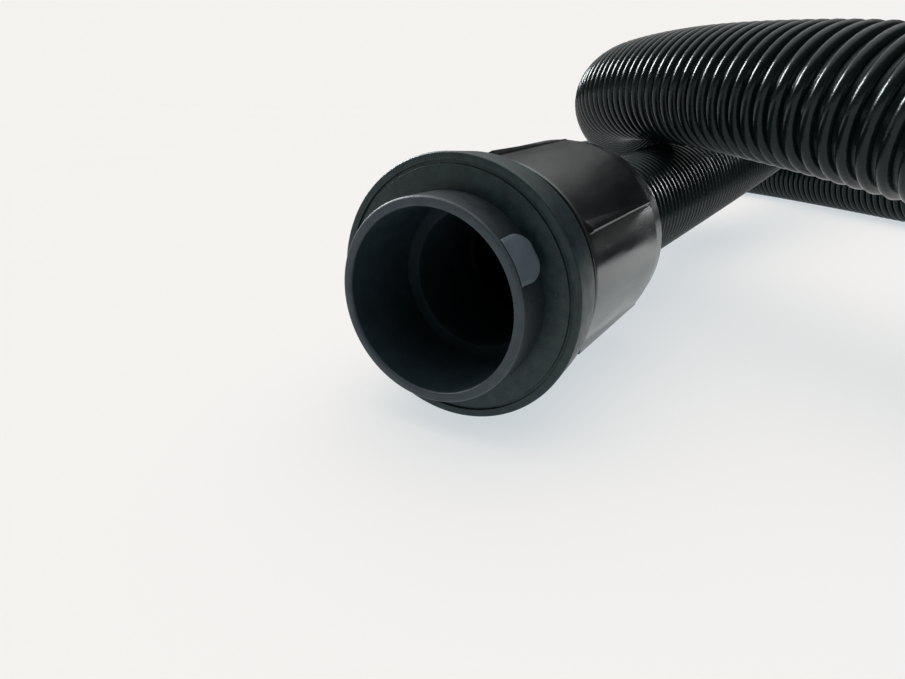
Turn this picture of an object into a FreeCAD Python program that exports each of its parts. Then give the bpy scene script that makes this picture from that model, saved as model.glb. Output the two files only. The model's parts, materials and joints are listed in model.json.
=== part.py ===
"""Stretch vacuum hose with a bayonet machine cuff at one end and a swivel tool cuff at the other.

Millimetres, +Z up, floor at z = 0.  The machine cuff lies along Y with its mouth facing -Y,
and the origin is on the floor under the middle of that cuff.  Each cuff's pieces are drawn
about their own axis, in a local frame whose origin is the centre of the mouth and whose +Y
runs into the cuff, and are then placed as a group.
"""
import FreeCAD, Part
import math
import os
import Sketcher

Vector = FreeCAD.Vector
AXIAL = Vector(0, 1, 0)

# Driving dimensions: alias, value in millimetres (or degrees, or a count), meaning.
DIMENSIONS = [
    ("axis_height", 34.0, "machine cuff axis above the floor"),
    ("cuff_middle", 46.0, "mouth to the middle of the machine cuff"),
    ("rim_radius", 25.1, "outside of the bayonet spigot"),
    ("mouth_radius", 22.6, "bore of the bayonet spigot"),
    ("air_radius", 19.0, "air passage, one and a half inch nominal"),
    ("mouth_depth", 25.2, "mouth to the inner shoulder"),
    ("sleeve_radius", 22.0, "spigot's rear sleeve, outside"),
    ("sleeve_end", 54.0, "mouth to the rear end of the sleeve"),
    ("flange_radius", 30.5, "spigot's backing flange"),
    ("flange_end", 27.2, "rear face of the backing flange"),
    ("lug_front_radius", 25.3, "bayonet lugs at the foot of their ramp"),
    ("lug_radius", 27.2, "top of the bayonet lugs"),
    ("lug_root", 24.0, "radius where the lugs are buried in the wall"),
    ("lug_start", 0.8, "mouth to the foot of the lug's ramp"),
    ("lug_end", 8.4, "mouth to the rear of the lug"),
    ("lug_half_width", 5.6, "half of the lug around the spigot"),
    ("lug_corner", 4.0, "rounding of the lug's rear corners"),
    ("lug_turn", 60.0, "lugs turned from the vertical, degrees"),
    ("gasket_front", 11.4, "mouth to the gasket's sealing face"),
    ("gasket_back", 22.7, "mouth to the gasket's rear face"),
    ("gasket_radius", 34.0, "gasket's outer radius at the front"),
    ("gasket_back_radius", 33.3, "gasket's outer radius at the rear"),
    ("gasket_edge", 0.7, "rounding of the gasket's edges"),
    ("groove_inner", 31.1, "sealing groove, inner edge"),
    ("groove_outer", 31.9, "sealing groove, outer edge"),
    ("groove_bottom", 12.0, "mouth to the bottom of the sealing groove"),
    ("shell_front", 28.2, "mouth to the front edge of the grip shell"),
    ("shell_front_radius", 31.7, "grip shell at its front edge"),
    ("rib_end", 81.0, "mouth to the rear end of the ribs"),
    ("shell_rib_radius", 33.6, "grip shell where the ribs run out"),
    ("band_start", 81.8, "mouth to the plain rear band"),
    ("band_radius", 33.0, "plain rear band"),
    ("shell_end", 92.0, "mouth to the rear edge of the shell"),
    ("shell_end_radius", 32.7, "grip shell at its rear edge"),
    ("web_back", 31.0, "rear face of the shell's front web"),
    ("hub_end", 42.0, "rear end of the hub that grips the sleeve"),
    ("hub_radius", 24.4, "outside of the hub"),
    ("cavity_radius", 29.8, "bearing bore of the shell"),
    ("rib_radius", 34.0, "crest of the ribs"),
    ("rib_root", 31.0, "radius where the ribs are buried in the wall"),
    ("rib_half_width", 3.7, "half of the rib at its root"),
    ("rib_count", 6, "ribs around the shell"),
    ("rib_turn", 2.0, "ribs turned from the vertical, degrees"),
    ("seat", 59.0, "mouth to the end of the hose in its collar"),
    ("collar_front", 57.0, "front face of the hose collar"),
    ("collar_end", 90.5, "rear end of the hose collar"),
    ("collar_radius", 28.0, "hose collar, outside"),
    ("bearing_radius", 29.75, "bearing lands of the hose collar"),
    ("front_land_end", 61.0, "rear edge of the front bearing land"),
    ("rear_land_start", 76.0, "front edge of the rear bearing land"),
    ("rear_land_end", 80.0, "rear edge of the rear bearing land"),
    ("stop_radius", 19.6, "collar's lip that the hose end meets"),
    ("seal_front", 51.0, "front of the lip seal"),
    ("seal_back", 56.9, "rear of the lip seal"),
    ("seal_neck", 54.2, "rear of the seal's heel"),
    ("seal_radius", 25.6, "outside of the lip seal"),
    ("seal_lip", 27.4, "edge of the seal's lip"),
    ("washer_front", 80.1, "front of the thrust washer"),
    ("washer_back", 81.5, "rear of the thrust washer"),
    ("washer_inner", 28.1, "bore of the thrust washer"),
    ("washer_radius", 29.7, "outside of the thrust washer"),
    ("ring_front", 81.6, "front of the retaining ring"),
    ("ring_back", 83.2, "rear of the retaining ring"),
    ("ring_inner", 28.5, "inside of the retaining ring"),
    ("ring_radius", 31.2, "retaining ring groove"),
    ("ring_gap", 9.0, "opening of the split retaining ring"),
    ("hose_radius", 23.0, "outside of the hose"),
    ("hose_bore", 20.0, "inside of the plain hose wall"),
    ("socket_radius", 19.1, "tool cuff socket"),
    ("socket_depth", 40.0, "tool cuff mouth to the stop of its socket"),
    ("stop_bore", 17.6, "passage behind the socket's stop"),
    ("tool_web_back", 47.0, "rear face of the tool shell's web"),
    ("nose_radius", 23.2, "tool cuff nose, outside"),
    ("bead_radius", 24.8, "bead round the tool cuff's mouth"),
    ("bead_end", 4.5, "rear of the bead"),
    ("nose_end", 35.0, "rear of the plain nose"),
    ("grip_start", 45.0, "front of the tool cuff's grip"),
    ("grip_radius", 32.5, "tool cuff grip, outside"),
    ("edge_round", 1.0, "rounding of the shells' rear edges"),
]

# The hose lies on this route: straight runs through these points, joined by tangent arcs.
# The first run is the machine cuff's axis and the last is the tool cuff's.
ROUTE = [
    (0, 13, 34), (0, 74, 34), (8, 153, 38), (22, 244, 47), (39, 342, 60),
    (58, 442, 74), (96, 534, 66), (170, 606, 43), (272, 645, 27), (385, 636, 23),
    (480, 572, 23), (535, 474, 23), (545, 356, 23), (520, 240, 23), (455, 140, 23),
    (360, 66, 24), (255, 30, 36), (162, 31, 58), (93, 58, 76.5), (41, 103, 84),
    (6, 139, 86), (-25, 175, 84.5), (-37, 215, 74), (-33, 259, 56), (-46, 305, 38),
    (-82, 350, 25), (-126, 396, 23), (-135, 462, 23), (-88, 510, 23), (-18, 516, 23),
    (38, 474, 23), (94, 418, 23), (152, 354, 23), (214, 294, 31), (272, 240, 44),
    (325, 190, 53.5), (372, 144, 64),
]
# Each node of the hose, and the run in whose middle it ends.
HOSE_NODES = [("hose_lead", 5), ("hose_loop", 16), ("hose_crossing", 22), ("hose_return", 35)]
ARC_SHARE = 0.45      # how much of the shorter run an arc takes up

document = FreeCAD.newDocument("vacuum_hose")
sheet = document.addObject("Spreadsheet::Sheet", "Dims")
for row, (alias, value, meaning) in enumerate(DIMENSIONS, start=1):
    sheet.set("A%d" % row, meaning)
    sheet.set("B%d" % row, str(value))
    sheet.setAlias("B%d" % row, alias)
document.recompute()
SIZE = {alias: value for alias, value, meaning in DIMENSIONS}


def bind(thing, prop, alias, sign=""):
    """Tie a property to a cell of the sheet, or to its negative."""
    thing.setExpression(prop, "%sDims.%s" % (sign, alias))


def origin_plane(body, role):
    return next(item for item in body.Origin.OriginFeatures if item.Role == role)


def new_body(name):
    return document.addObject("PartDesign::Body", name)


def new_sketch(body, name, role):
    sketch = body.newObject("Sketcher::SketchObject", name)
    sketch.AttachmentSupport = (origin_plane(body, role), "")
    sketch.MapMode = "FlatFace"
    return sketch


def place_point(sketch, line, across, along):
    """Hold the start of a line at two cells' distances from the sketch's origin."""
    for kind, axis, alias in (("DistanceX", -2, across), ("DistanceY", -1, along)):
        if alias is None:
            sketch.addConstraint(Sketcher.Constraint("PointOnObject", line, 1, axis))
            continue
        sign = "-" if alias.startswith("-") else ""
        alias = alias.lstrip("-")
        value = -SIZE[alias] if sign else SIZE[alias]
        index = sketch.addConstraint(Sketcher.Constraint(kind, -1, 1, line, 1, value))
        bind(sketch, "Constraints[%d]" % index, alias, sign)


def signed_size(alias):
    if alias is None:
        return 0.0
    if alias.startswith("-"):
        return -SIZE[alias[1:]]
    return SIZE[alias]


def closed_outline(sketch, corners):
    """A closed outline whose corners are pairs of cell names; None is a place on the axis."""
    places = [Vector(signed_size(across), signed_size(along), 0) for across, along in corners]
    count = len(places)
    for i in range(count):
        sketch.addGeometry(Part.LineSegment(places[i], places[(i + 1) % count]), False)
    for i in range(count):
        sketch.addConstraint(Sketcher.Constraint("Coincident", i, 2, (i + 1) % count, 1))
    for i, (across, along) in enumerate(corners):
        place_point(sketch, i, across, along)


def turned(name, corners):
    """A body turned about its local Y; corners are (distance from the mouth, radius)."""
    body = new_body(name)
    sketch = new_sketch(body, name + "_profile", "YZ_Plane")
    closed_outline(sketch, corners)
    turn = body.newObject("PartDesign::Revolution", name + "_turn")
    turn.Profile = sketch
    turn.ReferenceAxis = (sketch, ["H_Axis"])
    turn.Angle = 360.0
    document.recompute()
    return body


def round_rings(body, places, alias):
    """Round the circular edges at the given (distance from the mouth, radius) cells."""
    base = body.Tip
    names = []
    for number, edge in enumerate(base.Shape.Edges, start=1):
        curve = edge.Curve
        if not isinstance(curve, Part.Circle):
            continue
        for along, radius in places:
            if abs(curve.Radius - SIZE[radius]) < 1e-4 and abs(curve.Center.y - signed_size(along)) < 1e-4:
                names.append("Edge%d" % number)
    fillet = body.newObject("PartDesign::Fillet", body.Name + "_rounding")
    fillet.Base = (base, names)
    fillet.Radius = SIZE[alias]
    bind(fillet, "Radius", alias)
    body.Tip = fillet
    document.recompute()
    if not names or fillet.Shape.Volume >= base.Shape.Volume:
        raise RuntimeError(body.Name + ": the rounding took nothing off")


def cone(name, front_radius, back_radius, start, end):
    """A Part cone along local Y between two distances from the mouth; equal radii are a cylinder."""
    item = document.addObject("Part::Cone", name)
    bind(item, "Radius1", front_radius)
    bind(item, "Radius2", back_radius)
    item.setExpression("Height", "Dims.%s - Dims.%s" % (end, start))
    item.Placement = FreeCAD.Placement(Vector(0, 0, 0), FreeCAD.Rotation(Vector(1, 0, 0), -90))
    bind(item, "Placement.Base.y", start)
    return item


def finish_part(thing, label, placement):
    """Name a piece, place it, and keep the machine cuff's pieces tied to the sheet."""
    thing.Label = label
    thing.Placement = placement
    if placement.Base == machine_mouth():
        bind(thing, "Placement.Base.y", "cuff_middle", "-")
        bind(thing, "Placement.Base.z", "axis_height")
    parts[label] = thing


def machine_mouth():
    return Vector(0, -SIZE["cuff_middle"], SIZE["axis_height"])


parts = {}


# --- machine cuff -----------------------------------------------------------------------
def bayonet_spigot(placement):
    """The tube that goes into the machine: two lugs, an inner shoulder, flange and sleeve."""
    tube = turned("spigot_tube", [
        (None, "mouth_radius"), ("mouth_depth", "mouth_radius"), ("mouth_depth", "air_radius"),
        ("sleeve_end", "air_radius"), ("sleeve_end", "sleeve_radius"),
        ("flange_end", "sleeve_radius"), ("flange_end", "flange_radius"),
        ("gasket_back", "flange_radius"), ("gasket_back", "rim_radius"), (None, "rim_radius")])
    round_rings(tube, [(None, "rim_radius"), (None, "mouth_radius")], "gasket_edge")

    outline = new_body("lug_outline")
    sketch = new_sketch(outline, "lug_plan", "XY_Plane")
    closed_outline(sketch, [
        ("-lug_half_width", "lug_start"), ("lug_half_width", "lug_start"),
        ("lug_half_width", "lug_end"), ("-lug_half_width", "lug_end")])
    pad = outline.newObject("PartDesign::Pad", "lug_pad")
    pad.Profile = sketch
    pad.setExpression("Length", "2 * Dims.gasket_radius")
    pad.Midplane = True
    document.recompute()
    corners = []
    for number, edge in enumerate(pad.Shape.Edges, start=1):
        upright = abs(edge.tangentAt(edge.FirstParameter).z) > 0.99
        if upright and edge.CenterOfMass.y > SIZE["lug_end"] / 2:
            corners.append("Edge%d" % number)
    fillet = outline.newObject("PartDesign::Fillet", "lug_corners")
    fillet.Base = (pad, corners)
    bind(fillet, "Radius", "lug_corner")
    outline.Tip = fillet

    ring = document.addObject("Part::Cut", "lug_ring")
    ring.Base = cone("lug_outside", "lug_front_radius", "lug_radius", "lug_start", "lug_end")
    ring.Tool = cone("lug_inside", "lug_root", "lug_root", "lug_start", "lug_end")
    lugs = document.addObject("Part::Common", "lugs")
    lugs.Base = outline
    lugs.Tool = ring
    turned_lugs = FreeCAD.Placement(Vector(0, 0, 0), FreeCAD.Rotation(AXIAL, SIZE["lug_turn"]))
    lugs.Placement = turned_lugs
    bind(lugs, "Placement.Rotation.Angle", "lug_turn")
    spigot = document.addObject("Part::Fuse", "spigot")
    spigot.Base = tube
    spigot.Tool = lugs
    spigot.Refine = True
    finish_part(spigot, "bayonet_spigot", placement)


def face_gasket(placement):
    """The thick rubber ring that seals against the machine, with one groove in its face."""
    gasket = turned("gasket", [
        ("gasket_front", "rim_radius"), ("gasket_front", "groove_inner"),
        ("groove_bottom", "groove_inner"), ("groove_bottom", "groove_outer"),
        ("gasket_front", "groove_outer"), ("gasket_front", "gasket_radius"),
        ("gasket_back", "gasket_back_radius"), ("gasket_back", "rim_radius")])
    round_rings(gasket, [("gasket_front", "gasket_radius"), ("gasket_back", "gasket_back_radius")],
                "gasket_edge")
    finish_part(gasket, "face_gasket", placement)


def add_ribs(body):
    """Fins whose crests run parallel to the axis and die out where the shell flares to meet them."""
    sketch = new_sketch(body, "rib_section", "XZ_Plane")
    closed_outline(sketch, [
        ("-rib_half_width", "rib_root"), ("rib_half_width", "rib_root"), (None, "rib_radius")])
    bind(sketch, "AttachmentOffset.Base.z", "shell_front", "-")
    rib = body.newObject("PartDesign::Pad", "rib")
    rib.Profile = sketch
    rib.setExpression("Length", "Dims.rib_end - Dims.shell_front")
    rib.Reversed = True
    document.recompute()
    ring = body.newObject("PartDesign::PolarPattern", "ribs")
    ring.Originals = [rib]
    ring.Axis = (origin_plane(body, "Y_Axis"), [""])
    ring.Angle = 360.0
    bind(ring, "Occurrences", "rib_count")
    ring.Occurrences = int(SIZE["rib_count"])
    body.Tip = ring
    document.recompute()


def grip_shell(placement):
    """The ribbed outer shell: front web and hub on the sleeve, bearing bore behind."""
    shell = turned("shell", [
        ("shell_front", "sleeve_radius"), ("shell_front", "shell_front_radius"),
        ("rib_end", "shell_rib_radius"), ("band_start", "band_radius"),
        ("shell_end", "shell_end_radius"), ("shell_end", "cavity_radius"),
        ("ring_back", "cavity_radius"), ("ring_back", "ring_radius"),
        ("ring_front", "ring_radius"), ("ring_front", "cavity_radius"),
        ("web_back", "cavity_radius"), ("web_back", "hub_radius"),
        ("hub_end", "hub_radius"), ("hub_end", "sleeve_radius")])
    round_rings(shell, [("shell_end", "shell_end_radius")], "edge_round")
    add_ribs(shell)
    turn = FreeCAD.Placement(Vector(0, 0, 0), FreeCAD.Rotation(AXIAL, SIZE["rib_turn"]))
    finish_part(shell, "cuff_shell", placement.multiply(turn))


# --- the swivel, the same in both cuffs ---------------------------------------------------
def swivel(prefix, placement):
    """Hose collar, lip seal, thrust washer and split retaining ring."""
    collar = turned(prefix + "collar_body", [
        ("collar_front", "stop_radius"), ("collar_front", "bearing_radius"),
        ("front_land_end", "bearing_radius"), ("front_land_end", "collar_radius"),
        ("rear_land_start", "collar_radius"), ("rear_land_start", "bearing_radius"),
        ("rear_land_end", "bearing_radius"), ("rear_land_end", "collar_radius"),
        ("collar_end", "collar_radius"), ("collar_end", "hose_radius"),
        ("seat", "hose_radius"), ("seat", "stop_radius")])
    round_rings(collar, [("collar_end", "collar_radius")], "edge_round")
    finish_part(collar, prefix + "hose_collar", placement)

    seal = turned(prefix + "seal_body", [
        ("seal_front", "sleeve_radius"), ("seal_front", "seal_radius"),
        ("seal_neck", "seal_radius"), ("seal_back", "seal_lip"),
        ("seal_back", "seal_radius"), ("seal_neck", "hub_radius"), ("seal_neck", "sleeve_radius")])
    finish_part(seal, prefix + "swivel_seal", placement)

    washer = turned(prefix + "washer_body", [
        ("washer_front", "washer_inner"), ("washer_front", "washer_radius"),
        ("washer_back", "washer_radius"), ("washer_back", "washer_inner")])
    finish_part(washer, prefix + "thrust_washer", placement)

    hoop = turned(prefix + "ring_body", [
        ("ring_front", "ring_inner"), ("ring_front", "ring_radius"),
        ("ring_back", "ring_radius"), ("ring_back", "ring_inner")])
    gap = document.addObject("Part::Box", prefix + "ring_gap")
    bind(gap, "Length", "ring_gap")
    bind(gap, "Width", "shell_end")
    bind(gap, "Height", "gasket_radius")
    gap.Placement.Base = Vector(-SIZE["ring_gap"] / 2, 0, 0)
    split = document.addObject("Part::Cut", prefix + "ring_split")
    split.Base = hoop
    split.Tool = gap
    finish_part(split, prefix + "retaining_ring", placement)


# --- tool cuff ------------------------------------------------------------------------------
def tool_shell(placement):
    """A plain swivel cuff: socket for a wand, stop, sleeve and a stepped grip."""
    shell = turned("tool_shell", [
        (None, "socket_radius"), ("socket_depth", "socket_radius"), ("socket_depth", "stop_bore"),
        ("sleeve_end", "stop_bore"), ("sleeve_end", "sleeve_radius"),
        ("tool_web_back", "sleeve_radius"), ("tool_web_back", "cavity_radius"),
        ("ring_front", "cavity_radius"), ("ring_front", "ring_radius"),
        ("ring_back", "ring_radius"), ("ring_back", "cavity_radius"),
        ("shell_end", "cavity_radius"), ("shell_end", "grip_radius"),
        ("grip_start", "grip_radius"), ("nose_end", "nose_radius"),
        ("bead_end", "nose_radius"), ("bead_end", "bead_radius"), (None, "bead_radius")])
    round_rings(shell, [("shell_end", "grip_radius"), (None, "bead_radius"),
                        ("bead_end", "bead_radius")], "edge_round")
    finish_part(shell, "tool_cuff_shell", placement)


# --- hose -----------------------------------------------------------------------------------
def bend(before, corner, after):
    """The tangent arc at a corner of the route: its two ends, middle point, radius and turn."""
    incoming, outgoing = corner - before, after - corner
    reach = ARC_SHARE * min(incoming.Length, outgoing.Length)
    turn = incoming.getAngle(outgoing)
    radius = reach / math.tan(turn / 2)
    incoming.normalize()
    outgoing.normalize()
    inward = outgoing - incoming
    inward.normalize()
    start = corner - incoming * reach
    end = corner + outgoing * reach
    middle = corner + inward * (math.hypot(radius, reach) - radius)
    return start, middle, end, radius, turn


def swept(path, radius, start, heading):
    """A closed solid of round section along the path."""
    circle = Part.Wire(Part.makeCircle(radius, start, heading))
    return path.makePipeShell([circle], True, True)


def hose_nodes():
    """The plain hose wall, one solid per stretch; the stretches meet face to face."""
    route = [Vector(*point) for point in ROUTE]
    bends = [bend(*corner) for corner in zip(route, route[1:], route[2:])]
    section = math.pi * (SIZE["hose_radius"] ** 2 - SIZE["hose_bore"] ** 2)
    stretches = dict((last, label) for label, last in HOSE_NODES)
    place = route[0]
    edges = []
    length = total = 0.0
    for number, (start, middle, end, radius, turn) in enumerate(bends, start=1):
        edges.append(Part.LineSegment(place, start).toShape())
        edges.append(Part.Arc(start, middle, end).toShape())
        length += place.distanceToPoint(start) + radius * turn
        place = end
        print("  bend %2d  radius %4.0f mm  turn %2.0f degrees" % (number, radius, math.degrees(turn)))
        if number not in stretches:
            continue
        label = stretches[number]
        last = number == len(bends)
        closing = route[-1] if last else (end + bends[number][0]) * 0.5
        edges.append(Part.LineSegment(place, closing).toShape())
        length += place.distanceToPoint(closing)
        path = Part.Wire(edges)
        opening = edges[0].firstVertex().Point
        heading = edges[0].tangentAt(edges[0].FirstParameter)
        wall = swept(path, SIZE["hose_radius"], opening, heading).cut(
            swept(path, SIZE["hose_bore"], opening, heading))
        if abs(wall.Volume / (section * length) - 1) > 0.01:
            raise RuntimeError("%s: volume %.0f is not section times length %.0f"
                               % (label, wall.Volume, section * length))
        print("%s  length %.0f mm" % (label, length))
        node = document.addObject("Part::Feature", label)
        node.Shape = wall
        finish_part(node, label, FreeCAD.Placement())
        total += length
        edges = []
        length = 0.0
        place = closing
    print("hose length %.0f mm" % total)


def build():
    machine = FreeCAD.Placement(machine_mouth(), FreeCAD.Rotation())
    hose_end = Vector(*ROUTE[-1])
    heading = hose_end - Vector(*ROUTE[-2])
    heading.normalize()
    mouth = hose_end + heading * SIZE["seat"]
    tool = FreeCAD.Placement(mouth, FreeCAD.Rotation(AXIAL, heading * -1))
    bayonet_spigot(machine)
    face_gasket(machine)
    grip_shell(machine)
    swivel("", machine)
    tool_shell(tool)
    swivel("tool_", tool)
    hose_nodes()


def check():
    document.recompute()
    for item in document.Objects:
        if "Invalid" in item.State or "Error" in item.State:
            raise RuntimeError("%s failed: %s" % (item.Name, item.State))
    for label, item in parts.items():
        shape = item.Shape
        if shape.isNull() or not shape.isValid() or not shape.Solids:
            raise RuntimeError(label + " has no valid solid")
        box = shape.BoundBox
        print("%-22s solids %d  volume %9.0f  x %6.1f %6.1f  y %6.1f %6.1f  z %6.2f %6.1f"
              % (label, len(shape.Solids), shape.Volume, box.XMin, box.XMax,
                 box.YMin, box.YMax, box.ZMin, box.ZMax))


def write():
    os.makedirs("parts", exist_ok=True)
    for label, item in parts.items():
        item.Shape.exportStep("parts/%s.step" % label)


build()
check()
write()
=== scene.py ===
"""Looks of the vacuum hose: the corrugated hose on its route, the ribbed machine cuff and the tool cuff.

Metres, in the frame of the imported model.  Each cuff's pieces are drawn in a local frame whose origin
is the centre of the cuff's mouth and whose +Y runs into the cuff, as the CAD parts are.
"""
import json
import math

import bpy
import numpy as np
from mathutils import Matrix, Vector


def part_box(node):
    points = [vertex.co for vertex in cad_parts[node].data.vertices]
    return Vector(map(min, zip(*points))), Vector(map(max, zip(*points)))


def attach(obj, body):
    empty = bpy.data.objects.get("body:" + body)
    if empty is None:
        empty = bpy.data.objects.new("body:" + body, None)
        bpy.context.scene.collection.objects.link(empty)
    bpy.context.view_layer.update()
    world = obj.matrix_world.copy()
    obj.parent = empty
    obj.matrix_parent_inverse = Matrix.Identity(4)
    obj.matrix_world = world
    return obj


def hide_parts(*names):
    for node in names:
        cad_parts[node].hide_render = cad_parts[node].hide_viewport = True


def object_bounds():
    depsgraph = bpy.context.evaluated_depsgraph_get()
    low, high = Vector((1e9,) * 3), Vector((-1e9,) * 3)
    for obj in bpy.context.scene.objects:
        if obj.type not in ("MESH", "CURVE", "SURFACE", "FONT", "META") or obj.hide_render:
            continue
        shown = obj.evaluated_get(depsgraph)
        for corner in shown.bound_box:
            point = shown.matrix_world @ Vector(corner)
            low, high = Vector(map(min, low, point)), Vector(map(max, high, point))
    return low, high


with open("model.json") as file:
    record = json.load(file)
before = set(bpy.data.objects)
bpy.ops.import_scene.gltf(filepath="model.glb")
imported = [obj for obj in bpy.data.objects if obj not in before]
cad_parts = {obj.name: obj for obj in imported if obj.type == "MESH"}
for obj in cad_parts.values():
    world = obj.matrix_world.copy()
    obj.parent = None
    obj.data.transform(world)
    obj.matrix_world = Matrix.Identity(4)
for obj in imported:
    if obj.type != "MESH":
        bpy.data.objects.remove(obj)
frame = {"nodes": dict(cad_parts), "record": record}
cad_low, cad_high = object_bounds()

MM = 0.001
TURN = 2 * math.pi

# The hose's route, in millimetres: the control points of its line.
ROUTE = [
    (0, 13, 34), (0, 74, 34), (8, 153, 38), (22, 244, 47), (39, 342, 60),
    (58, 442, 74), (96, 534, 66), (170, 606, 43), (272, 645, 27), (385, 636, 23),
    (480, 572, 23), (535, 474, 23), (545, 356, 23), (520, 240, 23), (455, 140, 23),
    (360, 66, 24), (255, 30, 36), (162, 31, 58), (93, 58, 76.5), (41, 103, 84),
    (6, 139, 86), (-25, 175, 84.5), (-37, 215, 74), (-33, 259, 56), (-46, 305, 38),
    (-82, 350, 25), (-126, 396, 23), (-135, 462, 23), (-88, 510, 23), (-18, 516, 23),
    (38, 474, 23), (94, 418, 23), (152, 354, 23), (214, 294, 31), (272, 240, 44),
    (325, 190, 53.5), (372, 144, 64),
]
HOSE_RADIUS = 23.0 * MM
HOSE_BORE = 20.3 * MM
GROOVE_DEPTH = 2.4 * MM
RING_PITCH, RING_OPENING = 4.8, 0.7          # millimetres from ring to ring, and how much that grows
OPENING_START, OPENING_RUN = 0.45, 0.7       # metres: where it starts to grow, and over what length
BEAD_SHARE = 0.68                            # of each pitch; the rest is groove

BACKDROP = (0.909, 0.891, 0.869)             # the open floor's brightness, for the room behind it
BRIGHTEST = (-0.22, 0.16, 0.96)              # towards the brightest part of the room
FLOOR_GAP = 0.2 * MM                         # how far the floor lies under the lowest point
COOL = (0.87, 1.0, 1.0, 1)                   # the tint of highlights on the hose, cuffs, spigot and gasket
MIX_FIRST, MIX_SECOND, MIX_RESULT = 6, 7, 2  # a Mix node's sockets for colours, whose names repeat
SPECK_CUT = 0.72                             # the share of cells that hold no speck

# Sizes of the cuffs in millimetres: distances from the mouth, and radii.  They are the CAD's, apart from
# the lugs' root, the shell's lip, and where the ribs start and how high they stand.
HOSE_END = 59.0                              # mouth to the end of the hose in its collar
RIM_RADIUS, RIM_ROUNDING = 25.1, 0.7
MOUTH_RADIUS, MOUTH_DEPTH, AIR_RADIUS = 22.6, 25.2, 19.0
SLEEVE_RADIUS, SLEEVE_END = 22.0, 54.0
FLANGE_RADIUS, FLANGE_END = 30.5, 27.2
LUG_ANGLES = (60.0, 240.0)                   # degrees from straight up, towards +X
LUG_START, LUG_END, LUG_HALF_WIDTH, LUG_CORNER = 0.8, 8.4, 5.6, 4.0
LUG_ROOT, LUG_FRONT_RADIUS, LUG_RISE = 24.4, 25.3, 1.9
GASKET_FRONT, GASKET_BACK = 11.4, 22.7
GASKET_RADIUS, GASKET_BACK_RADIUS = 34.0, 33.3
SEAL_INNER, SEAL_OUTER, SEAL_BOTTOM = 31.1, 31.9, 12.0     # the sealing groove in the gasket's face
SHELL_FRONT, SHELL_LIP, SHELL_END = 28.2, 28.5, 92.0
SHELL_FRONT_RADIUS, SHELL_FLARE, SHELL_RIB_RADIUS = 31.7, 1.9, 33.6
BAND_START, BAND_RADIUS, BAND_END_RADIUS = 81.8, 33.0, 32.7
RIB_ANGLE, RIB_COUNT = 2.0, 6                # degrees from straight up, and how many
RIB_START, RIB_LAST, RIB_END = 30.3, 80.95, 81.0
GAP_COLUMNS, RIB_ROWS = 16, 27               # the mesh's columns between two ribs and rows along them
CREST_RADIUS, CREST_RISE = 33.1, 0.8
CAVITY_RADIUS, WEB_BACK = 29.8, 31.0
HUB_RADIUS, HUB_END = 24.4, 42.0
RING_FRONT, RING_BACK, RING_RADIUS = 81.6, 83.2, 31.2      # the retaining ring's groove
BEAD_RADIUS, BEAD_END = 24.8, 4.5
NOSE_RADIUS, NOSE_END = 23.2, 35.0
GRIP_RADIUS, GRIP_START = 32.5, 45.0
SOCKET_RADIUS, SOCKET_DEPTH, STOP_BORE, TOOL_WEB_BACK = 19.1, 40.0, 17.6, 47.0

# Both shells' cavity from its rear edge inwards, as corners of an outline.
CAVITY_MOUTH = [
    (SHELL_END, CAVITY_RADIUS, 0.3), (RING_BACK, CAVITY_RADIUS), (RING_BACK, RING_RADIUS),
    (RING_FRONT, RING_RADIUS), (RING_FRONT, CAVITY_RADIUS),
]


# --- camera, floor and light -------------------------------------------------------------------
def add_camera():
    """A wide view from just in front of the mouth, a little above it and to its right."""
    data = bpy.data.cameras.new("camera")
    data.lens = 23.87
    data.sensor_width = 36.0
    data.shift_x = 0.0044
    data.shift_y = -0.0221
    data.clip_start = 0.01
    camera = bpy.data.objects.new("camera", data)
    camera.location = (0.0746, -0.1574, 0.0775)
    camera.rotation_euler = (math.radians(70.5), 0, math.radians(31.5))
    bpy.context.scene.collection.objects.link(camera)
    bpy.context.scene.camera = camera


def add_glint_light(name, place, target, size, power):
    """A lamp that shows only as a reflection in glossy pieces."""
    data = bpy.data.lights.new(name, "AREA")
    data.size = size
    data.energy = power
    light = bpy.data.objects.new(name, data)
    light.location = place
    light.rotation_euler = (Vector(target) - Vector(place)).to_track_quat("-Z", "Y").to_euler()
    light.visible_camera = False
    light.visible_diffuse = False
    bpy.context.scene.collection.objects.link(light)


def add_studio():
    """A wide pale floor in a room lit softly from overhead, with two lamps that show only in reflections."""
    half = 30.0
    mesh = bpy.data.meshes.new("floor")
    mesh.from_pydata([(-half, -half, 0), (half, -half, 0), (half, half, 0), (-half, half, 0)],
                     [], [(0, 1, 2, 3)])
    floor = bpy.data.objects.new("floor", mesh)
    bpy.context.scene.collection.objects.link(floor)
    floor.location.z = cad_low.z - FLOOR_GAP
    mesh.materials.append(floor_material())

    add_glint_light("left_lamp", place=(-1.27, 0.07, 0.81), target=(0.05, 0.07, 0.05), size=0.46, power=40)
    add_glint_light("back_lamp", place=(0.64, 1.97, 0.53), target=(0.02, 0.12, 0.03), size=0.35, power=19)

    add_room()
    bpy.context.scene.view_settings.view_transform = "Standard"


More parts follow.
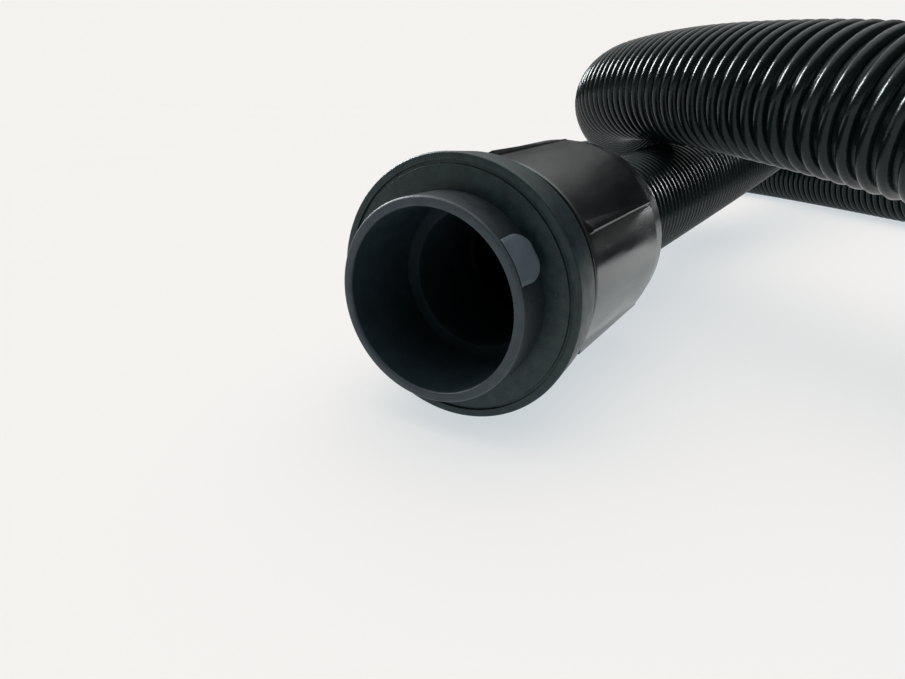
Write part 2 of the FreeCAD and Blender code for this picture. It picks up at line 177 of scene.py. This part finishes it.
def add_room():
    """What stands round the hose: as pale as the floor to the camera, and a soft overhead light."""
    world = bpy.data.worlds.new("room")
    world.use_nodes = True
    tree = world.node_tree
    backdrop = tree.nodes["Background"]
    backdrop.inputs["Color"].default_value = (*BACKDROP, 1)
    walls = tree.nodes.new("ShaderNodeBackground")
    walls.inputs["Color"].default_value = (1.0, 0.99, 0.98, 1)
    place = tree.nodes.new("ShaderNodeTexCoord")
    facing = tree.nodes.new("ShaderNodeVectorMath")
    facing.operation = "DOT_PRODUCT"
    facing.inputs[1].default_value = BRIGHTEST
    tree.links.new(place.outputs["Generated"], facing.inputs[0])
    level = tree.nodes.new("ShaderNodeMapRange")
    level.interpolation_type = "SMOOTHSTEP"
    for socket, value in (("From Min", 0.46), ("From Max", 0.95), ("To Min", 0.12), ("To Max", 1.76)):
        level.inputs[socket].default_value = value
    tree.links.new(facing.outputs["Value"], level.inputs["Value"])
    tree.links.new(level.outputs["Result"], walls.inputs["Strength"])
    seen = tree.nodes.new("ShaderNodeLightPath")
    mix = tree.nodes.new("ShaderNodeMixShader")
    tree.links.new(seen.outputs["Is Camera Ray"], mix.inputs[0])
    tree.links.new(walls.outputs[0], mix.inputs[1])
    tree.links.new(backdrop.outputs[0], mix.inputs[2])
    tree.links.new(mix.outputs[0], tree.nodes["World Output"].inputs["Surface"])
    bpy.context.scene.world = world


# --- materials ---------------------------------------------------------------------------------
class Shader:
    """A material under construction: a Principled BSDF and helpers that add and join nodes."""

    def __init__(self, name, **sockets):
        self.material = bpy.data.materials.new(name)
        self.material.use_nodes = True
        self.tree = self.material.node_tree
        self.bsdf = self.tree.nodes["Principled BSDF"]
        for socket, value in sockets.items():
            self.bsdf.inputs[socket.replace("_", " ")].default_value = value
        self.place = self.node("ShaderNodeTexCoord").outputs["Object"]

    def node(self, kind, **settings):
        made = self.tree.nodes.new(kind)
        for setting, value in settings.items():
            setattr(made, setting, value)
        return made

    def join(self, source, target):
        self.tree.links.new(source, target)

    def noise(self, scale, detail=3.0, stretch=None):
        """Noise at so many cells a metre; stretch scales the three axes."""
        made = self.node("ShaderNodeTexNoise")
        made.inputs["Scale"].default_value = scale
        made.inputs["Detail"].default_value = detail
        place = self.place
        if stretch:
            mapping = self.node("ShaderNodeMapping")
            mapping.inputs["Scale"].default_value = stretch
            self.join(place, mapping.inputs["Vector"])
            place = mapping.outputs["Vector"]
        self.join(place, made.inputs["Vector"])
        return made.outputs["Fac"]

    def spread(self, source, low, high, start=0.3, end=0.7):
        """A value that runs from low to high while the source runs from start to end."""
        made = self.node("ShaderNodeMapRange")
        made.inputs["From Min"].default_value = start
        made.inputs["From Max"].default_value = end
        made.inputs["To Min"].default_value = low
        made.inputs["To Max"].default_value = high
        self.join(source, made.inputs["Value"])
        return made.outputs["Result"]

    def mixed(self, factor, first, second):
        """A colour between two others, each a colour or an output."""
        made = self.node("ShaderNodeMix", data_type="RGBA")
        self.join(factor, made.inputs["Factor"])
        for socket, value in ((MIX_FIRST, first), (MIX_SECOND, second)):
            if isinstance(value, tuple):
                made.inputs[socket].default_value = (*value, 1)
            else:
                self.join(value, made.inputs[socket])
        return made.outputs[MIX_RESULT]

    def mottled(self, low, high, scale, detail=3.0):
        """A colour that drifts between two close tones."""
        return self.mixed(self.spread(self.noise(scale, detail), 0, 1), low, high)

    def flecks(self, scale, radius):
        """Sparse round specks, one in some cells: 1 on a speck and 0 off it."""
        cells = self.node("ShaderNodeTexVoronoi")
        cells.inputs["Scale"].default_value = scale
        self.join(self.place, cells.inputs["Vector"])
        near = self.node("ShaderNodeMath", operation="LESS_THAN")
        near.inputs[1].default_value = radius
        self.join(cells.outputs["Distance"], near.inputs[0])
        picked = self.node("ShaderNodeSeparateColor")
        self.join(cells.outputs["Color"], picked.inputs["Color"])
        rare = self.node("ShaderNodeMath", operation="GREATER_THAN")
        rare.inputs[1].default_value = SPECK_CUT
        self.join(picked.outputs["Red"], rare.inputs[0])
        both = self.node("ShaderNodeMath", operation="MULTIPLY")
        self.join(near.outputs[0], both.inputs[0])
        self.join(rare.outputs[0], both.inputs[1])
        return both.outputs[0]

    def colour(self, output):
        """Sets the base colour."""
        self.join(output, self.bsdf.inputs["Base Color"])

    def rough(self, low, high, scale, detail=3.0, stretch=None):
        """Roughness that drifts between two values."""
        self.join(self.spread(self.noise(scale, detail, stretch), low, high), self.bsdf.inputs["Roughness"])

    def bump(self, depth, scale, detail=3.0, stretch=None):
        """A fine unevenness, so many metres deep."""
        made = self.node("ShaderNodeBump")
        made.inputs["Distance"].default_value = depth
        self.join(self.noise(scale, detail, stretch), made.inputs["Height"])
        self.join(made.outputs["Normal"], self.bsdf.inputs["Normal"])


def floor_material():
    """Pale and matt with faint clouding; it glows a little, so that shadows stay light."""
    shader = Shader("pale_floor", Roughness=1.0, Specular_IOR_Level=0.0,
                    Emission_Color=(0.88, 0.95, 0.995, 1), Emission_Strength=0.655)
    shader.colour(shader.mixed(shader.noise(scale=3.0), (0.365, 0.295, 0.24), (0.385, 0.315, 0.26)))
    return shader.material


def hose_material():
    """Semi-gloss black vinyl, duller in places."""
    shader = Shader("black_vinyl", Specular_IOR_Level=0.28, Specular_Tint=COOL)
    shader.colour(shader.mottled((0.002, 0.005, 0.006), (0.006, 0.010, 0.011), scale=60.0))
    shader.rough(0.16, 0.30, scale=140.0, detail=5.0)
    shader.bump(0.06 * MM, scale=900.0)
    return shader.material


def cuff_material():
    """Glossy moulded black with faint flow lines and handling marks."""
    shader = Shader("gloss_black", Specular_IOR_Level=0.95, IOR=1.58, Specular_Tint=COOL)
    shader.colour(shader.mottled((0.007, 0.007, 0.008), (0.013, 0.013, 0.014), scale=90.0))
    shader.rough(0.14, 0.30, scale=110.0, detail=6.0, stretch=(1, 0.25, 1))
    shader.bump(0.08 * MM, scale=160.0, detail=2.0, stretch=(1, 0.2, 1))
    return shader.material


def spigot_material(name, low, high):
    """Blue-grey matt plastic between two tones, with a fine grain and a few dull specks."""
    shader = Shader(name, Specular_IOR_Level=0.4, Specular_Tint=COOL)
    base = shader.mottled(low, high, scale=220.0, detail=5.0)
    shader.colour(shader.mixed(shader.flecks(scale=800.0, radius=0.11), base, (0.08, 0.09, 0.10)))
    shader.rough(0.42, 0.58, scale=300.0, detail=4.0)
    shader.bump(0.05 * MM, scale=1500.0)
    return shader.material


def bore_material():
    """The spigot's inside: the same moulding, its near-black colour painted shade of the deep bore, with
    uneven roughness and a fine grain.
    """
    shader = Shader("painted_shade_bore", Specular_IOR_Level=0.2)
    shader.colour(shader.mottled((0.011, 0.022, 0.028), (0.018, 0.033, 0.042), scale=180.0, detail=5.0))
    shader.rough(0.62, 0.80, scale=300.0, detail=4.0)
    shader.bump(0.06 * MM, scale=1200.0)
    return shader.material


def gasket_material():
    """Greenish black rubber with bloom, a fine grain and a few dull specks."""
    shader = Shader("gasket_rubber", Specular_Tint=COOL)
    base = shader.mottled((0.003, 0.010, 0.013), (0.012, 0.027, 0.030), scale=420.0, detail=6.0)
    shader.colour(shader.mixed(shader.flecks(scale=900.0, radius=0.10), base, (0.05, 0.07, 0.07)))
    shader.rough(0.36, 0.50, scale=260.0, detail=4.0)
    shader.bump(0.08 * MM, scale=2200.0)
    return shader.material


def plain_material(name, low, high, rough, **sockets):
    """A moulded or drawn piece that hardly shows: two close colours and uneven roughness."""
    shader = Shader(name, **sockets)
    shader.colour(shader.mottled(low, high, scale=250.0, detail=4.0))
    shader.rough(*rough, scale=400.0, detail=4.0)
    shader.bump(0.04 * MM, scale=1800.0)
    return shader.material


# --- mesh helpers --------------------------------------------------------------------------------
def new_piece(name, points, faces, material, body, sharp=42):
    """A smooth-shaded piece that rides on a body; edges that turn by more than sharp degrees stay sharp."""
    mesh = bpy.data.meshes.new(name)
    mesh.from_pydata([tuple(p) for p in points], [], faces)
    mesh.validate()
    mesh.polygons.foreach_set("use_smooth", [True] * len(mesh.polygons))
    mesh.set_sharp_from_angle(angle=math.radians(sharp))
    mesh.materials.append(material)
    mesh.update()
    piece = bpy.data.objects.new(name, mesh)
    bpy.context.scene.collection.objects.link(piece)
    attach(piece, body)
    return piece


def sheet_faces(rows, columns, row_wraps=False):
    """Quads of a grid whose columns wrap round, row by row; the rows may close on themselves."""
    last = rows if row_wraps else rows - 1
    faces = []
    for i in range(last):
        a, b = i * columns, (i + 1) % rows * columns
        for j in range(columns):
            k = (j + 1) % columns
            faces.append((a + j, a + k, b + k, b + j))
    return faces


def open_faces(rows, columns, first=0):
    """Quads of a grid of points, row by row, that wraps neither way; first is its first point's number."""
    return [(a, a + 1, a + columns + 1, a + columns)
            for row in range(rows - 1)
            for a in range(first + row * columns, first + (row + 1) * columns - 1)]


def rounded(outline, steps=5):
    """A closed outline of (along, radius, rounding) corners with its corners rounded."""
    places = [np.array(corner[:2], float) for corner in outline]
    points = []
    for i, here in enumerate(places):
        rounding = outline[i][2] if len(outline[i]) > 2 else 0
        if not rounding:
            points.append(here)
            continue
        before = places[i - 1] - here
        after = places[(i + 1) % len(places)] - here
        before /= np.linalg.norm(before)
        after /= np.linalg.norm(after)
        half = math.acos(np.clip(before @ after, -1, 1)) / 2
        reach = rounding / math.tan(half)
        centre = here + (before + after) / np.linalg.norm(before + after) * rounding / math.sin(half)
        first, last = here + before * reach - centre, here + after * reach - centre
        sweep = math.pi - 2 * half
        for step in range(steps + 1):
            t = step / steps
            points.append(centre + (math.sin((1 - t) * sweep) * first + math.sin(t * sweep) * last)
                          / math.sin(sweep))
    return points


def ring_of(placement, along, radii, angles):
    """Points round a cuff's axis; angles in radians from straight up, towards +X."""
    return [placement @ Vector((r * MM * math.sin(a), along * MM, r * MM * math.cos(a)))
            for r, a in zip(radii, angles)]


def lathed(placement, outline, columns=120):
    """Points and faces of a closed outline turned about a cuff's axis."""
    angles = np.arange(columns) / columns * TURN
    points = []
    for along, radius in outline:
        points.extend(ring_of(placement, along, np.full(columns, radius), angles))
    return points, sheet_faces(len(outline), columns, row_wraps=True)


# --- the hose ------------------------------------------------------------------------------------
def hose_line():
    """Points along the hose's centreline: one smooth line through the route."""
    data = bpy.data.curves.new("hose_line", "CURVE")
    data.dimensions = "3D"
    spline = data.splines.new("NURBS")
    spline.points.add(len(ROUTE) - 1)
    for point, place in zip(spline.points, ROUTE):
        point.co = (*(MM * value for value in place), 1)
    spline.order_u = 3
    spline.use_endpoint_u = True
    spline.resolution_u = 24
    line = bpy.data.objects.new("hose_line", data)
    bpy.context.scene.collection.objects.link(line)
    bpy.context.view_layer.update()
    mesh = bpy.data.meshes.new_from_object(line.evaluated_get(bpy.context.evaluated_depsgraph_get()))
    points = np.array([v.co for v in mesh.vertices], float)
    bpy.data.meshes.remove(mesh)
    bpy.data.objects.remove(line)
    return points


class Line:
    """A centreline with a frame that turns as little as it can."""

    def __init__(self, points):
        self.points = points
        steps = np.diff(points, axis=0)
        self.along = np.concatenate([[0], np.cumsum(np.linalg.norm(steps, axis=1))])
        heading = np.gradient(points, self.along, axis=0)
        heading /= np.linalg.norm(heading, axis=1)[:, None]
        self.heading = heading
        side = np.cross(heading[0], (0, 0, 1.0))
        sides = [side / np.linalg.norm(side)]
        for tangent in heading[1:]:
            side = sides[-1] - tangent * (sides[-1] @ tangent)
            sides.append(side / np.linalg.norm(side))
        self.side = np.array(sides)
        self.up = np.cross(self.side, heading)

    @property
    def length(self):
        return self.along[-1]

    def at(self, distance, what):
        return np.stack([np.interp(distance, self.along, what[:, axis]) for axis in range(3)], axis=-1)

    def around(self, distance, angle, radius):
        """Points at a distance along, an angle round and a radius from the line."""
        side, up = self.at(distance, self.side), self.at(distance, self.up)
        across = np.cos(angle)[:, None] * side + np.sin(angle)[:, None] * up
        across /= np.linalg.norm(across, axis=1)[:, None]
        return self.at(distance, self.points) + across * radius[:, None]


def ring_pitch(distance):
    """Corrugations lie close near the machine cuff, and are pulled open further along."""
    opened = np.clip((distance - OPENING_START) / OPENING_RUN, 0, 1)
    return (RING_PITCH + RING_OPENING * opened * opened * (3 - 2 * opened)) * MM


def ring_profile(phase):
    """How far the surface lies below its crest, in groove depths: a round bead between flat grooves."""
    off = np.minimum(np.abs(phase * 2 - 1) / BEAD_SHARE, 1)
    return 1 - np.sqrt(1 - off ** 2)


def corrugated_hose(line, material):
    """One spiral corrugation from end to end, with a plain bore."""
    around, inner_rows, samples = 48, 300, 6000
    # where each turn's rows of points lie, as shares of the pitch; they are closest at the bead's edges
    phases = np.array([0.0, 0.14, 0.17, 0.22, 0.33, 0.5, 0.67, 0.78, 0.83, 0.86])
    per_turn = len(phases)
    fine = np.linspace(0, line.length, samples)
    step = fine[1] - fine[0]
    turns = np.concatenate([[0], np.cumsum(step / ring_pitch(fine[:-1] + step / 2))])
    count = int(turns[-1]) - 1
    rows = count * per_turn
    row = np.repeat(np.arange(rows), around)
    column = np.tile(np.arange(around), rows)
    turn = row // per_turn + phases[row % per_turn] + column / around
    distance = np.interp(turn * turns[-1] / (count + 1), turns, fine)
    radius = HOSE_RADIUS - GROOVE_DEPTH * ring_profile(phases[row % per_turn])
    outside = line.around(distance, column / around * TURN, radius)
    faces = open_faces(rows, around)
    for i in range(rows - per_turn - 1):
        a, b = i * around + around - 1, (i + per_turn) * around
        faces.append((a, b, b + around, a + around))

    row = np.repeat(np.arange(inner_rows), around)
    column = np.tile(np.arange(around), inner_rows)
    first, last = distance[0], distance[(rows - per_turn) * around]
    reach = first + (last - first) * row / (inner_rows - 1)
    inside = line.around(reach, column / around * TURN, np.full(len(row), HOSE_BORE))
    base = len(outside)
    faces.extend(tuple(base + k for k in reversed(face)) for face in sheet_faces(inner_rows, around))
    faces.extend(end_faces(0, per_turn, around, base, False))
    top = (rows - 1) * around
    faces.extend(end_faces(top, per_turn, around, base + (inner_rows - 1) * around, True))
    return new_piece("corrugated_hose", np.concatenate([outside, inside]), faces, material,
                     "hose", sharp=65)


def end_faces(edge, per_turn, around, bore, far):
    """Joins the hose's stepped outer edge to its bore; the near end steps up, the far end down."""
    faces = []
    outer = [edge + j for j in range(around)]
    inner = [bore + j for j in range(around)]
    if far:
        # the far edge steps back by one turn at the first column
        wall = [edge - i * around + around - 1 for i in range(per_turn + 1)]
        for j in range(around - 1):
            faces.append((outer[j], outer[j + 1], inner[j + 1], inner[j]))
        faces.append((outer[0], inner[0], inner[-1], wall[per_turn]))
        for a, b in zip(wall, wall[1:]):
            faces.append((inner[-1], a, b))
    else:
        wall = [edge + i * around for i in range(per_turn + 1)]
        for j in range(around - 1):
            faces.append((outer[j + 1], outer[j], inner[j], inner[j + 1]))
        faces.append((wall[per_turn], outer[-1], inner[-1], inner[0]))
        for a, b in zip(wall, wall[1:]):
            faces.append((inner[0], b, a))
    return faces


# --- the machine cuff ------------------------------------------------------------------------------
def machine_placement():
    """The machine cuff's local frame."""
    mouth = Vector(joints["machine_swivel"]["pos_m"])
    mouth.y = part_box("bayonet_spigot")[0].y
    return Matrix.Translation(mouth)


def lug_mesh(placement, angle, first):
    """One bayonet lug: a ramp rising from the rim, round-cornered and steep at the rear."""
    inset, bevel = 0.35, 0.3             # width and height of the bevel round the lug's top
    straight = LUG_END - LUG_CORNER
    rows = [(y, LUG_HALF_WIDTH) for y in np.linspace(LUG_START, straight, 5)]
    for t in np.linspace(0, math.pi / 2, 9)[1:]:
        width = LUG_HALF_WIDTH - LUG_CORNER + LUG_CORNER * math.cos(t)
        rows.append((straight + LUG_CORNER * math.sin(t), width))
    across = np.linspace(-1, 1, 13)
    columns = len(across) + 4
    grid = []
    for number, (y, width) in enumerate(rows):
        top = LUG_FRONT_RADIUS + (y - LUG_START) / (LUG_END - LUG_START) * LUG_RISE
        last = number == len(rows) - 1
        reach = np.concatenate([[-width, -width], across * (width - inset), [width, width]])
        lift = np.concatenate([[LUG_ROOT, top - bevel], np.full(len(across), top - bevel * last),
                               [top - bevel, LUG_ROOT]])
        grid.append((y, reach, lift))
    grid.insert(-1, (LUG_END - inset, grid[-2][1], grid[-2][2]))
    grid.append((LUG_END, grid[-1][1], np.full(columns, LUG_ROOT)))
    points = []
    for y, reach, lift in grid:
        points.extend(ring_of(placement, y, lift, math.radians(angle) + reach / RIM_RADIUS))
    faces = open_faces(len(grid), columns, first)
    faces.append(tuple(first + j for j in reversed(range(columns))))
    return points, faces


def spigot_materials():
    """The spigot's materials, in the order of the slots that spigot_slot gives."""
    return [
        spigot_material("matt_blue_grey", (0.032, 0.044, 0.055), (0.047, 0.061, 0.075)),
        # the bore: near-black, painted shade of its depth
        bore_material(),
        # the outside behind the rim: darker, painted shade from the gasket and flange beside it
        spigot_material("painted_shade_blue_grey", (0.008, 0.013, 0.017), (0.014, 0.020, 0.026)),
        # the lugs: a paler tone than the rim
        spigot_material("pale_blue_grey", (0.066, 0.088, 0.105), (0.088, 0.113, 0.134)),
    ]


def spigot_slot(along, radius):
    """The material slot of a face, from its distance from the mouth and from the axis in millimetres."""
    rim, bore, wall, lug = range(4)
    bore_limit, wall_limit, lug_limit = 22.64, 25.15, 28.0
    if along <= RIM_ROUNDING:
        return rim
    if radius < bore_limit:
        return bore
    return lug if wall_limit < radius < lug_limit else wall


def bayonet_spigot(placement):
    """The mouth's tube: its rim is matt, its outside darker with painted shade, its bore near-black with
    painted shade and its lugs a paler tone.
    """
    outline = rounded([
        (0, RIM_RADIUS, RIM_ROUNDING), (GASKET_BACK, RIM_RADIUS), (GASKET_BACK, FLANGE_RADIUS, 0.2),
        (FLANGE_END, FLANGE_RADIUS, 0.3), (FLANGE_END, SLEEVE_RADIUS),
        (SLEEVE_END, SLEEVE_RADIUS, 0.3), (SLEEVE_END, AIR_RADIUS, 0.3), (MOUTH_DEPTH, AIR_RADIUS, 0.5),
        (MOUTH_DEPTH, MOUTH_RADIUS), (0, MOUTH_RADIUS, RIM_ROUNDING)])
    points, faces = lathed(placement, outline)
    for angle in LUG_ANGLES:
        more_points, more_faces = lug_mesh(placement, angle, len(points))
        points.extend(more_points)
        faces.extend(more_faces)
    first, *others = spigot_materials()
    piece = new_piece("bayonet_spigot_skin", points, faces, first, "machine_cuff")
    for material in others:
        piece.data.materials.append(material)
    for polygon in piece.data.polygons:
        place = (polygon.center - placement.translation) / MM
        polygon.material_index = spigot_slot(place.y, math.hypot(place.x, place.z))
    return piece


def face_gasket(placement, material):
    """The thick ring round the spigot, with one sealing groove in its face."""
    outline = rounded([
        (GASKET_FRONT, RIM_RADIUS), (GASKET_FRONT, SEAL_INNER, 0.12), (SEAL_BOTTOM, SEAL_INNER),
        (SEAL_BOTTOM, SEAL_OUTER), (GASKET_FRONT, SEAL_OUTER, 0.12), (GASKET_FRONT, GASKET_RADIUS, 0.5),
        (GASKET_BACK, GASKET_BACK_RADIUS, 0.6), (GASKET_BACK, RIM_RADIUS)])
    points, faces = lathed(placement, outline)
    return new_piece("face_gasket_skin", points, faces, material, "machine_cuff")


def shell_section(y, ribbed):
    """Angles and radii round the shell at one place between its front lip and the ends of its ribs.

    Each rib has one broad flank and one steep one, and narrows as the shell flares to meet its crest.
    """
    share = (y - SHELL_FRONT) / (RIB_END - SHELL_FRONT)
    radius = SHELL_FRONT_RADIUS + SHELL_FLARE * share
    crest = CREST_RADIUS + CREST_RISE * share
    broad, steep = 2.9 - 2.2 * share, 0.9 - 0.5 * share      # the flanks' widths
    pitch = TURN / RIB_COUNT
    angles, radii = [], []
    for rib in range(RIB_COUNT):
        middle = math.radians(RIB_ANGLE) + rib * pitch
        for part in (-1, -0.94, -0.5, -0.06):
            angles.append(middle + part * broad / radius)
            radii.append(crest + (crest - radius) * part if ribbed else radius)
        for part in (0.2, 0.5, 0.85):
            angles.append(middle + part * steep / radius)
            radii.append(crest - (crest - radius) * part ** 1.5 if ribbed else radius)
        gap = pitch - (broad + steep) / radius
        for part in np.arange(GAP_COLUMNS) / GAP_COLUMNS:
            angles.append(middle + steep / radius + part * gap)
            radii.append(radius)
    return angles, radii


def cuff_shell(placement, material):
    """The ribbed grip; its ribs start just behind the front lip and die out before the rear band."""
    # rows of the front lip: distance from the mouth, and how far the surface is sunk there
    lip = ((SHELL_LIP, 0.40), (28.6, 0.18), (28.8, 0.04), (29.1, 0.0), (30.15, 0.0))
    points = []
    for y, sunk in lip:
        angles, radii = shell_section(y, False)
        points.extend(ring_of(placement, y, np.array(radii) - sunk, angles))
    for y in np.linspace(RIB_START, RIB_LAST, RIB_ROWS):
        angles, radii = shell_section(y, True)
        points.extend(ring_of(placement, y, radii, angles))
    angles, radii = shell_section(RIB_END, False)
    back = rounded([
        (RIB_END, SHELL_RIB_RADIUS), (BAND_START, BAND_RADIUS), (SHELL_END, BAND_END_RADIUS, 1.0),
        *CAVITY_MOUTH, (WEB_BACK, CAVITY_RADIUS), (WEB_BACK, HUB_RADIUS), (HUB_END, HUB_RADIUS),
        (HUB_END, SLEEVE_RADIUS), (SHELL_LIP, SLEEVE_RADIUS)])
    for y, radius in back:
        points.extend(ring_of(placement, y, np.full(len(angles), radius), angles))
    faces = sheet_faces(len(points) // len(angles), len(angles), row_wraps=True)
    return new_piece("cuff_shell_skin", points, faces, material, "machine_cuff")


# --- the tool cuff -----------------------------------------------------------------------------------
def tool_placement():
    """The tool cuff's local frame: its mouth lies beyond the end of the hose."""
    joint = joints["tool_swivel"]
    heading = Vector(joint["axis"])
    mouth = Vector(joint["pos_m"]) + heading * HOSE_END * MM
    return Matrix.Translation(mouth) @ (-heading).to_track_quat("Y", "Z").to_matrix().to_4x4()


def tool_shell(placement, material):
    """The plain tool cuff: a beaded nose with a socket in it, and a wider grip behind."""
    outline = rounded([
        (0, BEAD_RADIUS, 1.0), (BEAD_END, BEAD_RADIUS, 1.0), (BEAD_END, NOSE_RADIUS),
        (NOSE_END, NOSE_RADIUS, 4.0), (GRIP_START, GRIP_RADIUS, 1.5), (SHELL_END, GRIP_RADIUS, 1.0),
        *CAVITY_MOUTH, (TOOL_WEB_BACK, CAVITY_RADIUS), (TOOL_WEB_BACK, SLEEVE_RADIUS),
        (SLEEVE_END, SLEEVE_RADIUS), (SLEEVE_END, STOP_BORE), (SOCKET_DEPTH, STOP_BORE),
        (SOCKET_DEPTH, SOCKET_RADIUS), (0, SOCKET_RADIUS, 0.8)])
    points, faces = lathed(placement, outline)
    return new_piece("tool_cuff_shell_skin", points, faces, material, "tool_cuff")


# --- main ----------------------------------------------------------------------------------------
add_camera()
line = Line(hose_line())
hose = corrugated_hose(line, hose_material())
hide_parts("hose_lead", "hose_loop", "hose_crossing", "hose_return")
add_studio()

joints = {joint["name"]: joint for joint in frame["record"]["behaviour"]["joints"]}
machine, tool = machine_placement(), tool_placement()
black = cuff_material()
spigot = bayonet_spigot(machine)
gasket = face_gasket(machine, gasket_material())
shell = cuff_shell(machine, black)
tool_grip = tool_shell(tool, black)
for piece, node in ((spigot, "bayonet_spigot"), (gasket, "face_gasket"), (shell, "cuff_shell"),
                    (tool_grip, "tool_cuff_shell")):
    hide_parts(node)

collar = plain_material("collar_plastic", (0.02, 0.02, 0.02), (0.035, 0.035, 0.035), (0.4, 0.55))
seal = plain_material("seal_rubber", (0.012, 0.012, 0.012), (0.024, 0.024, 0.024), (0.55, 0.7))
washer = plain_material("washer_acetal", (0.62, 0.61, 0.56), (0.72, 0.71, 0.66), (0.35, 0.5))
steel = plain_material("spring_steel", (0.42, 0.42, 0.43), (0.56, 0.56, 0.57), (0.25, 0.4), Metallic=1.0)
LOOKS = {"hose_collar": collar, "swivel_seal": seal, "thrust_washer": washer, "retaining_ring": steel}
for name, material in LOOKS.items():
    for prefix in ("", "tool_"):
        node = frame["nodes"][prefix + name]
        node.data.materials.clear()
        node.data.materials.append(material)
